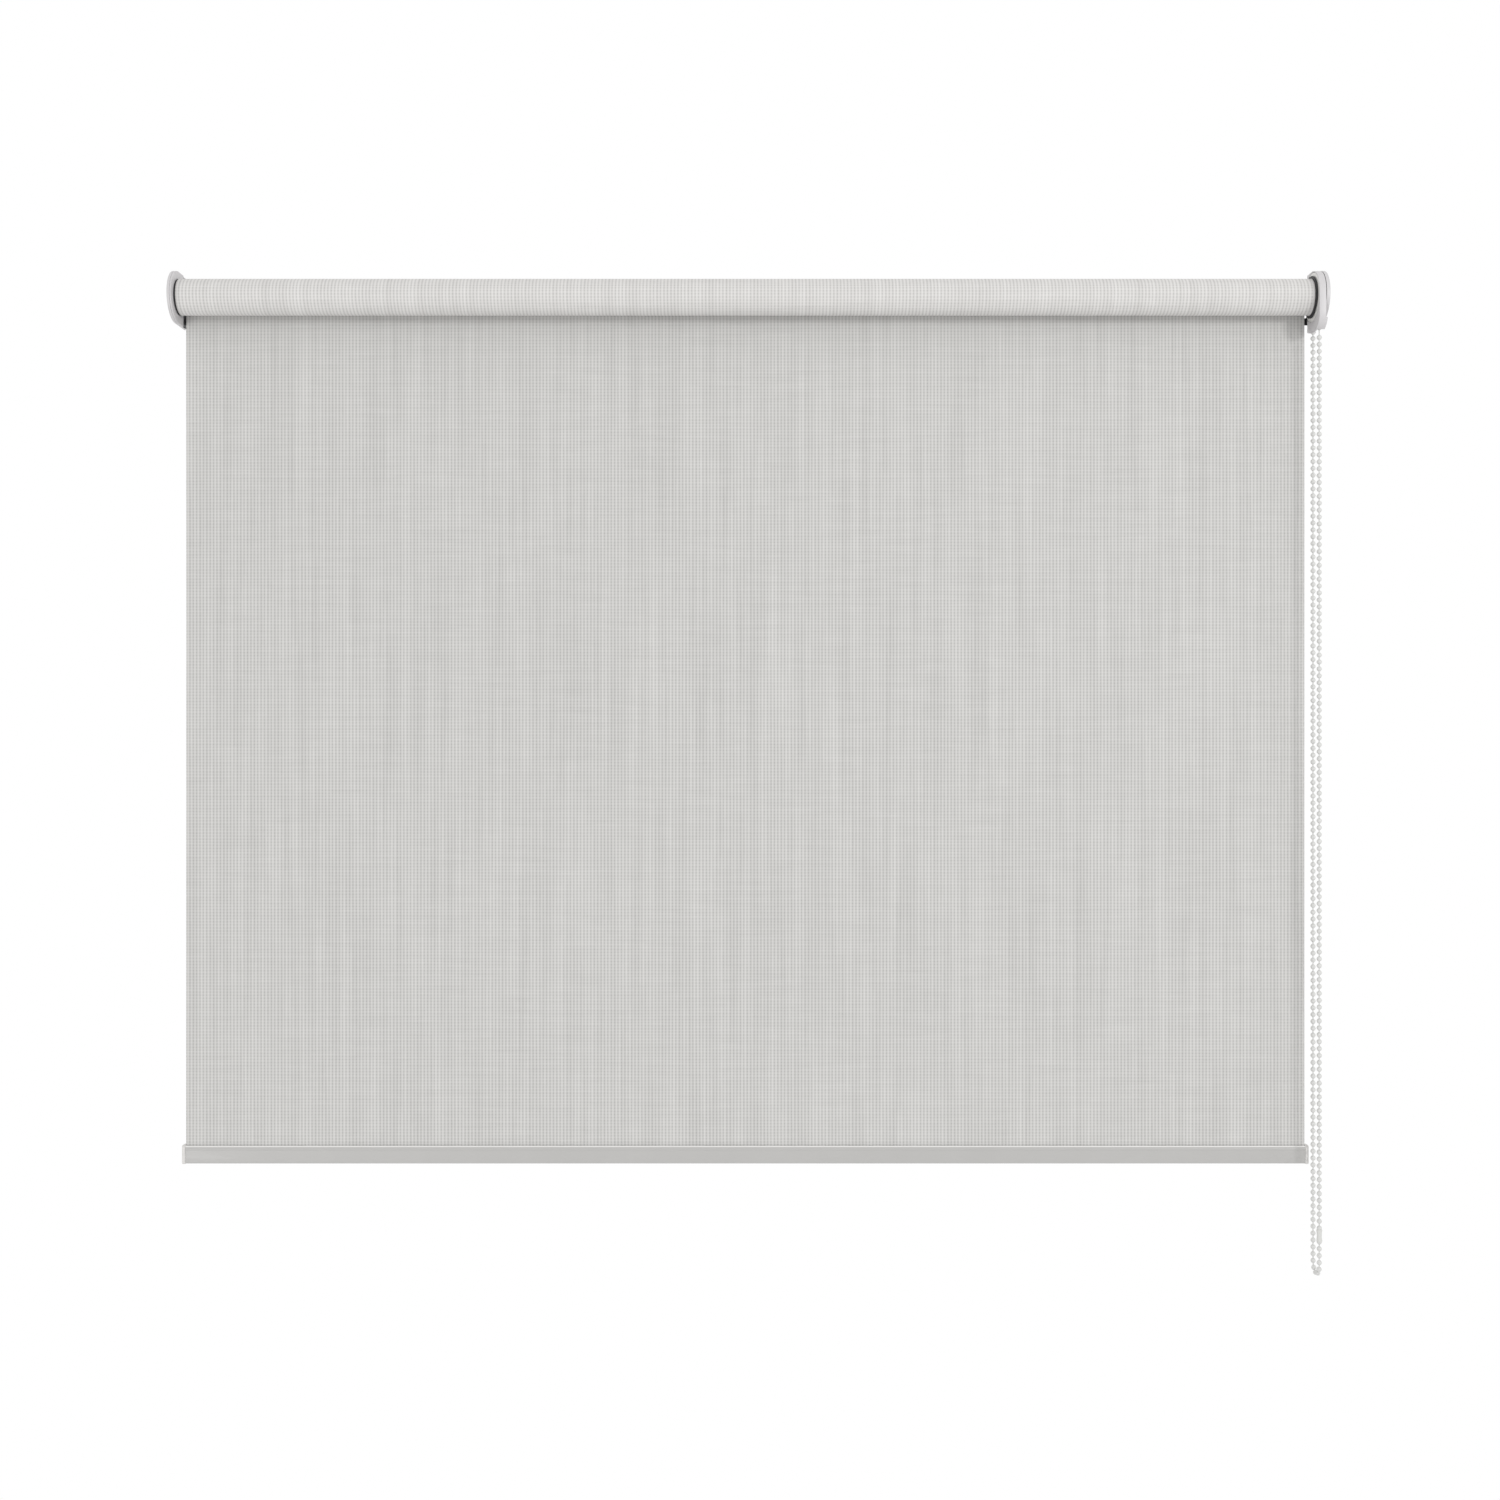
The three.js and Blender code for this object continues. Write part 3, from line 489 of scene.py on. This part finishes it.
def screen_weave(name, dark, light):
    material, tree, shader = start_material(name, {
        "Roughness": 0.82, "IOR": 1.45, "Sheen Weight": 0.12, "Sheen Roughness": 0.5,
    })
    cloth = add_node(tree, "ShaderNodeUVMap", {"uv_map": "cloth"}).outputs["UV"]
    # Each yarn wanders a little and is thicker in places: long streaks down the drop.
    streak_place = add_node(tree, "ShaderNodeMapping", None, {
        "Vector": cloth, "Scale": (1 / (9 * MM), 1 / (220 * MM), 1.0),
    })
    streak = add_node(tree, "ShaderNodeTexNoise", {"noise_dimensions": "2D"}, {
        "Vector": streak_place.outputs[0], "Scale": 1.0, "Detail": 3.0, "Roughness": 0.65,
    }).outputs["Fac"]
    slub_place = add_node(tree, "ShaderNodeMapping", None, {
        "Vector": cloth, "Scale": (1 / (60 * MM), 1 / (5 * MM), 1.0),
    })
    slub = add_node(tree, "ShaderNodeTexNoise", {"noise_dimensions": "2D"}, {
        "Vector": slub_place.outputs[0], "Scale": 1.0, "Detail": 2.0, "Roughness": 0.6,
    }).outputs["Fac"]
    split = add_node(tree, "ShaderNodeSeparateXYZ", None, {"Vector": cloth})
    warp_turn = maths(tree, "MULTIPLY", split.outputs["X"], 2 * math.pi / WARP_PITCH)
    warp_turn = maths(tree, "ADD", warp_turn, maths(tree, "MULTIPLY", streak, WARP_WANDER))
    weft_turn = maths(tree, "MULTIPLY", split.outputs["Y"], 2 * math.pi / WEFT_PITCH)
    weft_turn = maths(tree, "ADD", weft_turn, maths(tree, "MULTIPLY", slub, WEFT_WANDER))
    warp = maths(tree, "SINE", warp_turn)
    weft = maths(tree, "SINE", weft_turn)
    # Where two yarns cross both stand proud, and between four yarns there is a small opening.
    ribs = maths(tree, "MULTIPLY", warp, RIB_HEIGHT)
    rungs = maths(tree, "MULTIPLY", weft, RUNG_HEIGHT)
    height = maths(tree, "ADD", maths(tree, "ADD", ribs, rungs), 0.5)
    uneven = maths(
        tree, "ADD", maths(tree, "MULTIPLY", streak, 0.7), maths(tree, "MULTIPLY", slub, 0.3)
    )
    # Painted shade: the colour is darker where the yarns lie low and paler on their crests. The
    # streaks and slubs add the yarns' own uneven tone.
    painted_hollow_shade_and_tone = maths(tree, "ADD", maths(tree, "MULTIPLY", height, 0.5),
                  maths(tree, "MULTIPLY", maths(tree, "SUBTRACT", uneven, 0.5), 0.45), clamp=True)
    colour = add_node(tree, "ShaderNodeMix", {"data_type": "RGBA"}, {
        0: painted_hollow_shade_and_tone, 6: linear(dark), 7: linear(light),
    })
    tree.links.new(colour.outputs[2], shader.inputs["Base Color"])
    opening = add_node(tree, "ShaderNodeMapRange", None, {
        "Value": height, "From Min": 0.08, "From Max": 0.26, "To Min": 0.82, "To Max": 1.0,
    })
    tree.links.new(opening.outputs["Result"], shader.inputs["Alpha"])
    bump = add_node(tree, "ShaderNodeBump", None, {
        "Height": height, "Strength": 0.4, "Distance": 0.22 * MM,
    })
    tree.links.new(bump.outputs["Normal"], shader.inputs["Normal"])
    return material


# The cloth leaves the back of the roll, so the roll shows its reverse. The roll's weave is painted
# paler than the hanging cloth's: painted light, for the light that the roll's rounded face catches.
weave_front = screen_weave("coated_polyester_screen_weave", "#abaaa8", "#e2e1df")
roll_weave_painted_paler = screen_weave("coated_polyester_weave_painted_paler", "#b8b6b4", "#ecebe9")


def woven_strip(line, stations):
    """Cloth that follows line, a list of (y, z), across the width at the given x stations.
    Its UV map holds real metres: across the cloth, and along it."""
    bm = bmesh.new()
    run = bm.verts.layers.float.new("run")
    verts = [bm.verts.new((stations[0], y, z)) for y, z in line]
    length = 0.0
    for before, vertex in zip([verts[0], *verts], verts):
        length += (vertex.co - before.co).length
        vertex[run] = length
    edges = [bm.edges.new(pair) for pair in zip(verts, verts[1:])]
    for start, end in zip(stations, stations[1:]):
        grown = bmesh.ops.extrude_edge_only(bm, edges=edges)["geom"]
        moved = {g for g in grown if isinstance(g, bmesh.types.BMVert)}
        bmesh.ops.translate(bm, verts=list(moved), vec=(end - start, 0, 0))
        edges = [
            g for g in grown
            if isinstance(g, bmesh.types.BMEdge) and g.verts[0] in moved and g.verts[1] in moved
        ]
    return bm, run, length


def finish_cloth(bm, run):
    """Gives the strip its thickness and its UV map."""
    bmesh.ops.recalc_face_normals(bm, faces=bm.faces)
    bmesh.ops.solidify(bm, geom=[*bm.verts, *bm.edges, *bm.faces], thickness=FABRIC_T)
    bmesh.ops.recalc_face_normals(bm, faces=bm.faces)
    cloth = bm.loops.layers.uv.new("cloth")
    for face in bm.faces:
        for corner in face.loops:
            corner[cloth].uv = (corner.vert.co.x, corner.vert[run])


def stations_across(count):
    step = (FABRIC_RIGHT - FABRIC_LEFT) / count
    return [FABRIC_LEFT + step * index for index in range(count + 1)]


# The wound part is one strip, rolled up from the tube outwards to the back of the roll.
inner_line_r = TUBE_CLEAR_R + FABRIC_T / 2
outer_line_r = ROLL_R - FABRIC_T / 2
turns = (outer_line_r - inner_line_r) / LAYER_PITCH
STEPS_PER_TURN = 64
steps = round(turns * STEPS_PER_TURN)
spiral = []
for step in range(steps + 1):
    angle = 2 * math.pi * turns * step / steps
    radius = outer_line_r - LAYER_PITCH * angle / (2 * math.pi)
    spiral.append((AXIS_Y + radius * math.cos(angle), radius * math.sin(angle)))
wound, run, wound_length = woven_strip(spiral, stations_across(14))
finish_cloth(wound, run)
# The roll uses the weave painted paler: painted light.
wound_fabric = place_piece(
    "wound_fabric", wound, roll_weave_painted_paler, "roller", ("fabric_roll",), sharp=70
)

# The hanging part leaves the back of the roll and runs down into the bottom rail's slot. It
# hangs flat, with a faint slow wave and its cut edges curled back by a fraction of a mm.
DROP_STEPS = 60
hang_y = AXIS_Y + outer_line_r
bottom = RAIL_TOP - SHEET_IN_SLOT
drop_line = [(hang_y, bottom * step / DROP_STEPS) for step in range(DROP_STEPS + 1)]
hanging, run, hanging_length = woven_strip(drop_line, stations_across(80))
for vertex in hanging.verts:
    down = vertex.co.z / bottom
    free = math.sin(math.pi * min(max(down, 0.0), 1.0))
    wave = math.sin(vertex.co.x * 9.0 + 0.7) + 0.6 * math.sin(vertex.co.x * 21.0 - vertex.co.z * 4.0)
    to_edge = min(vertex.co.x - FABRIC_LEFT, FABRIC_RIGHT - vertex.co.x)
    curl = math.exp(-to_edge / CURL_WIDTH)
    vertex.co.y += free * (SHEET_WAVE * wave + EDGE_CURL * curl)
finish_cloth(hanging, run)
hanging_cloth = place_piece(
    "hanging_cloth", hanging, weave_front, "brackets", ("hanging_fabric",), sharp=70
)
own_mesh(hanging_cloth)

# ---- Chain guard -----------------------------------------------------------------------
# Injection-moulded ABS housing round the chain wheel, clipped to the right bracket. A thin
# inner wall has a round opening for the wheel's flange, and the shell ends in a chin that is
# open below, where the two chain strands leave.

GUARD_X = 492.4 * MM
GUARD_WALL = 1.0 * MM
GUARD_SEAM = 498.0 * MM
CHIN_X = 499.6 * MM
GUARD_SHELL = 1.2
GUARD_OPENING_R = 21.4
GUARD_BACK = -13.6
CHIN_TOP = -22.7
MOUTH_HALF = 12.2
SIDE_STEP = 0.05


def bend(start, handle, end, count):
    """Points on a quadratic curve, without its first."""
    found = []
    for step in range(1, count + 1):
        t = step / count
        weights = ((1 - t) ** 2, 2 * t * (1 - t), t * t)
        found.append(tuple(
            sum(w * p[axis] for w, p in zip(weights, (start, handle, end))) for axis in (0, 1)
        ))
    return found


def cut_in(line, axis, place):
    """Adds two points to line, a hair apart, where it passes place on the given axis."""
    made = [line[0]]
    for a, b in zip(line, line[1:]):
        if a[1] < -15 and (a[axis] - place) * (b[axis] - place) < 0:
            for at in (place - SIDE_STEP, place + SIDE_STEP):
                share = (at - a[axis]) / (b[axis] - a[axis])
                made.append(tuple(p + share * (q - p) for p, q in zip(a, b)))
        made.append(b)
    return made


# The outline is (towards the room, height) from the roller's axis, in millimetres.
outline = [(GUARD_BACK, CHIN_TOP - SIDE_STEP), (GUARD_BACK, -28.0)]
outline += bend(outline[-1], (0.0, -32.5), (11.0, -31.0), 12)
outline += bend(outline[-1], (22.4, -27.5), (22.4, -16.0), 10)
outline += [(22.4, -8.0)]
outline += [
    (22.4 * math.cos(math.radians(a)), 22.4 * math.sin(math.radians(a))) for a in range(0, 91, 6)
]
outline += [(-7.0, 22.4), (GUARD_BACK, 22.4)]
for axis, place in ((0, -MOUTH_HALF), (0, MOUTH_HALF), (1, CHIN_TOP)):
    outline = cut_in(outline, axis, place)

FULL_TURN = 2 * math.pi
bore_corner = (GUARD_OPENING_R ** 2 - GUARD_BACK ** 2) ** 0.5
first_turn = math.atan2(-bore_corner, GUARD_BACK) % FULL_TURN
last_turn = FULL_TURN + math.atan2(bore_corner, GUARD_BACK)
bearings = [math.atan2(up, ahead) % FULL_TURN for ahead, up in outline]
bearings = [b if b >= bearings[0] - 1e-9 else b + FULL_TURN for b in bearings]
guard = bmesh.new()
sections = []
for (ahead, up), bearing in zip(outline, bearings):
    share = (bearing - bearings[0]) / (bearings[-1] - bearings[0])
    turned = first_turn + share * (last_turn - first_turn)
    bore = (GUARD_OPENING_R * math.cos(turned), GUARD_OPENING_R * math.sin(turned))
    inward = 1 - GUARD_SHELL / math.hypot(ahead, up)
    lining = (ahead * inward, up * inward)
    end_x = CHIN_X if up < CHIN_TOP else GUARD_SEAM
    if abs(ahead) < MOUTH_HALF and up < CHIN_TOP:
        end_x = GUARD_X + GUARD_WALL
    ring = (
        (GUARD_X, bore), (GUARD_X, (ahead, up)), (end_x, (ahead, up)),
        (end_x, lining), (GUARD_X + GUARD_WALL, lining), (GUARD_X + GUARD_WALL, bore),
    )
    sections.append([guard.verts.new((x, AXIS_Y - out * MM, z * MM)) for x, (out, z) in ring])
for lower, upper in zip(sections, sections[1:]):
    for index in range(6):
        after = (index + 1) % 6
        guard.faces.new((lower[index], lower[after], upper[after], upper[index]))
guard.faces.new(sections[0])
guard.faces.new(sections[-1])
bmesh.ops.remove_doubles(guard, verts=guard.verts, dist=0.002 * MM)
bmesh.ops.recalc_face_normals(guard, faces=guard.faces)
round_sharp_edges(guard, 0.25 * MM, segments=2, angle=40)
place_piece("guard_housing", guard, cover_abs, "brackets", ("chain_guard",))

# ---- Bottom rail -----------------------------------------------------------------------
# Extruded aluminium, stove-enamelled in the fabric's colour. The fabric goes into the slot in
# its top and is held there by a round spline. The die leaves faint lines along its length.

RAIL_LEFT = -496.6 * MM
RAIL_RIGHT = 490.9 * MM
RAIL_FRONT = -14.1
RAIL_REAR = -6.1
RAIL_TOP_MM = RAIL_TOP / MM
RAIL_FOOT = -760.2
RAIL_CORNER = 1.2
SLOT_FRONT = -12.95
SLOT_REAR = -11.35
SLOT_DEPTH = 1.1
SPLINE_SEAT_R = 2.2


def corner(centre, radius, start, end, count=5):
    """Points of an arc in (y, z), in millimetres, its angles in degrees."""
    turns = [math.radians(start + (end - start) * step / count) for step in range(count + 1)]
    return [(centre[0] + radius * math.cos(t), centre[1] + radius * math.sin(t)) for t in turns]


def extrude_outline(points, x_start, x_end):
    """A closed prism along X from (y, z) points in millimetres."""
    bm = bmesh.new()
    face = bm.faces.new([bm.verts.new((x_start, y * MM, z * MM)) for y, z in points])
    grown = bmesh.ops.extrude_face_region(bm, geom=[face])["geom"]
    moved = [g for g in grown if isinstance(g, bmesh.types.BMVert)]
    bmesh.ops.translate(bm, verts=moved, vec=(x_end - x_start, 0, 0))
    bmesh.ops.recalc_face_normals(bm, faces=bm.faces)
    return bm


def rounded_box(front, rear, foot, top, radius):
    return (
        corner((rear - radius, top - radius), radius, 90, 0)
        + corner((rear - radius, foot + radius), radius, 0, -90)
        + corner((front + radius, foot + radius), radius, -90, -180)
        + corner((front + radius, top - radius), radius, 180, 90)
    )


slot_middle = (SLOT_FRONT + SLOT_REAR) / 2
seat_centre = (slot_middle, RAIL_TOP_MM - SLOT_DEPTH - 2.0)
mouth_turn = math.degrees(math.asin((SLOT_REAR - SLOT_FRONT) / 2 / SPLINE_SEAT_R))
section = rounded_box(RAIL_FRONT, RAIL_REAR, RAIL_FOOT, RAIL_TOP_MM, RAIL_CORNER)
# The front corner's arc stops at the slot's front lip, as the lip lies within its radius.
section = [
    p for p in section
    if not (SLOT_FRONT < p[0] < SLOT_REAR and p[1] > RAIL_TOP_MM - SLOT_DEPTH)
]
section += [(SLOT_FRONT, RAIL_TOP_MM)]
section += corner(seat_centre, SPLINE_SEAT_R, 90 + mouth_turn, 450 - mouth_turn, 16)
section += [(SLOT_REAR, RAIL_TOP_MM)]

enamel, enamel_tree, enamel_shader = start_material(
    "stove_enamelled_aluminium", {"Roughness": 0.34, "IOR": 1.5, "Coat Weight": 0.15}
)
enamel_place = add_node(enamel_tree, "ShaderNodeTexCoord").outputs["Object"]
die_place = add_node(enamel_tree, "ShaderNodeMapping", None, {
    "Vector": enamel_place, "Scale": (1 / (400 * MM), 1 / (0.9 * MM), 1 / (0.9 * MM)),
})
die_lines = add_node(enamel_tree, "ShaderNodeTexNoise", None, {
    "Vector": die_place.outputs[0], "Scale": 1.0, "Detail": 3.0,
})
cloud = add_node(enamel_tree, "ShaderNodeTexNoise", None, {
    "Vector": enamel_place, "Scale": 1 / (35 * MM), "Detail": 3.0,
})
enamel_colour = add_node(enamel_tree, "ShaderNodeMix", {"data_type": "RGBA"}, {
    0: cloud.outputs["Fac"], 6: linear("#a8a7a5"), 7: linear("#afaeac"),
})
# Painted highlight: the colour is paler on the rail's two rounded upper edges, where they catch the
# light.
enamel_split = add_node(enamel_tree, "ShaderNodeSeparateXYZ", None, {"Vector": enamel_place})
rail_middle = (RAIL_TOP_MM + RAIL_FOOT) / 2 * MM
above_middle = maths(enamel_tree, "SUBTRACT", enamel_split.outputs["Z"], rail_middle)
rail_half = (RAIL_TOP_MM - RAIL_FOOT) / 2 * MM
painted_highlight_mask = add_node(enamel_tree, "ShaderNodeMapRange", None, {
    "Value": above_middle, "From Min": rail_half - RAIL_CORNER * MM,
    "From Max": rail_half - 0.4 * RAIL_CORNER * MM, "To Min": 0.0, "To Max": 1.0,
})
enamel_with_painted_highlight = add_node(enamel_tree, "ShaderNodeMix", {"data_type": "RGBA"}, {
    0: painted_highlight_mask.outputs["Result"], 6: enamel_colour.outputs[2], 7: linear("#dddcda"),
})
enamel_tree.links.new(enamel_with_painted_highlight.outputs[2], enamel_shader.inputs["Base Color"])
enamel_gloss = add_node(enamel_tree, "ShaderNodeMapRange", None, {
    "Value": die_lines.outputs["Fac"], "From Min": 0.3, "From Max": 0.7,
    "To Min": 0.28, "To Max": 0.42,
})
enamel_tree.links.new(enamel_gloss.outputs["Result"], enamel_shader.inputs["Roughness"])
enamel_bump = add_node(enamel_tree, "ShaderNodeBump", None, {
    "Height": die_lines.outputs["Fac"], "Strength": 0.35, "Distance": 0.02 * MM,
})
enamel_tree.links.new(enamel_bump.outputs["Normal"], enamel_shader.inputs["Normal"])

rail_mesh = extrude_outline(section, RAIL_LEFT, RAIL_RIGHT)
place_piece("rail_extrusion", rail_mesh, enamel, "rail", ("bottom_rail",), sharp=40)

# ---- Rail end caps ---------------------------------------------------------------------
# Injection-moulded ABS, pushed into the rail's ends. Each stands half a millimetre proud of
# the rail all round, with rounded edges.

CAP_T = 2.8 * MM
CAP_PROUD = 0.5

cap_abs = moulded_plastic("moulded_cap_abs", "#cfcdcb", "#c6c4c2", 0.45, 0.5, 0.015)
cap_outline = rounded_box(
    RAIL_FRONT - CAP_PROUD, RAIL_REAR + CAP_PROUD, RAIL_FOOT - CAP_PROUD,
    RAIL_TOP_MM + CAP_PROUD, RAIL_CORNER + CAP_PROUD,
)
for name, inner_x, outer_x, node in (
    ("left_end_cap", RAIL_LEFT, RAIL_LEFT - CAP_T, "rail_cap_left"),
    ("right_end_cap", RAIL_RIGHT, RAIL_RIGHT + CAP_T, "rail_cap_right"),
):
    end_cap = extrude_outline(cap_outline, inner_x, outer_x)
    round_sharp_edges(end_cap, 0.45 * MM, segments=3, angle=60)
    place_piece(name, end_cap, cap_abs, "rail", (node,))

# ---- Parts inside the roller -----------------------------------------------------------
# The bush, wheel and splines are moulded white acetal; the idle plug, the spring seat, the
# clutch core and the crown are dark glass-filled nylon; the tube is mill-finish aluminium.

acetal = moulded_plastic("moulded_white_acetal", "#e2e1de", "#d8d7d3", 0.36, 0.7, 0.01)
nylon = moulded_plastic("glass_filled_nylon", "#2b2b2d", "#202022", 0.55, 0.35, 0.02)
refinish(acetal, "pin_bush", "chain_wheel", "tube_spline", "bottom_spline")
# The crown's dark colour is partly painted shade. It is dark nylon, and it also darkens the gap
# between the roll's right end and the guard.
refinish(nylon, "idle_plug", "spring_retainer", "clutch_core", "drive_crown")


def turned_metal(name, light, dark, roughness, line_mm):
    """Bare metal with fine lines round X, as drawing, turning or extrusion leaves."""
    material, tree, shader = start_material(name, {"Metallic": 1.0, "Roughness": roughness})
    place = add_node(tree, "ShaderNodeTexCoord").outputs["Object"]
    lines = add_node(tree, "ShaderNodeMapping", None, {
        "Vector": place, "Scale": (1 / (line_mm * MM), 1 / (6 * MM), 1 / (6 * MM)),
    })
    noise = add_node(tree, "ShaderNodeTexNoise", None, {
        "Vector": lines.outputs[0], "Scale": 1.0, "Detail": 3.0,
    })
    colour = add_node(tree, "ShaderNodeMix", {"data_type": "RGBA"}, {
        0: noise.outputs["Fac"], 6: linear(dark), 7: linear(light),
    })
    tree.links.new(colour.outputs[2], shader.inputs["Base Color"])
    gloss = add_node(tree, "ShaderNodeMapRange", None, {
        "Value": noise.outputs["Fac"], "From Min": 0.3, "From Max": 0.7,
        "To Min": roughness - 0.06, "To Max": roughness + 0.1,
    })
    tree.links.new(gloss.outputs["Result"], shader.inputs["Roughness"])
    return material


plated = turned_metal("zinc_plated_steel", "#c9cacc", "#a9abae", 0.28, 0.4)
spring_wire = turned_metal("drawn_spring_steel", "#8d8f93", "#6d6f73", 0.3, 0.3)
mill_finish = turned_metal("mill_finish_aluminium", "#d2d4d6", "#bcbec1", 0.34, 1.2)
refinish(plated, "idle_pin", "retaining_washer", "core_screw")
refinish(spring_wire, "wrap_spring_inner", "wrap_spring_outer")
refinish(mill_finish, "roller_tube")

# ---- Idle spring -----------------------------------------------------------------------
# A seven-turn compression spring of drawn wire between the idle pin's collar and its seat.
# It pushes the pin outwards, and is pressed shorter when the pin is pushed in to free the roller;
# here it is drawn at one length only.

SPRING_FRONT = -490.6
SPRING_REAR = -460.5
SPRING_R = 3.1
SPRING_TURNS = 7
WIRE_R = 0.4
STEPS_PER_COIL = 24

coil_start = SPRING_FRONT + WIRE_R
coil_length = SPRING_REAR - WIRE_R - coil_start
wire_line = []
for step in range(SPRING_TURNS * STEPS_PER_COIL + 1):
    share = step / (SPRING_TURNS * STEPS_PER_COIL)
    angle = 2 * math.pi * SPRING_TURNS * share
    wire_line.append(Vector((
        (coil_start + coil_length * share) * MM,
        AXIS_Y + SPRING_R * MM * math.cos(angle),
        SPRING_R * MM * math.sin(angle),
    )))
spring = bmesh.new()
add_cord(spring, wire_line, WIRE_R * MM, sides=10)
bmesh.ops.recalc_face_normals(spring, faces=spring.faces)
idle_coil = place_piece(
    "idle_coil", spring, spring_wire, "roller", ("idle_spring",), sharp=60
)
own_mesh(idle_coil)
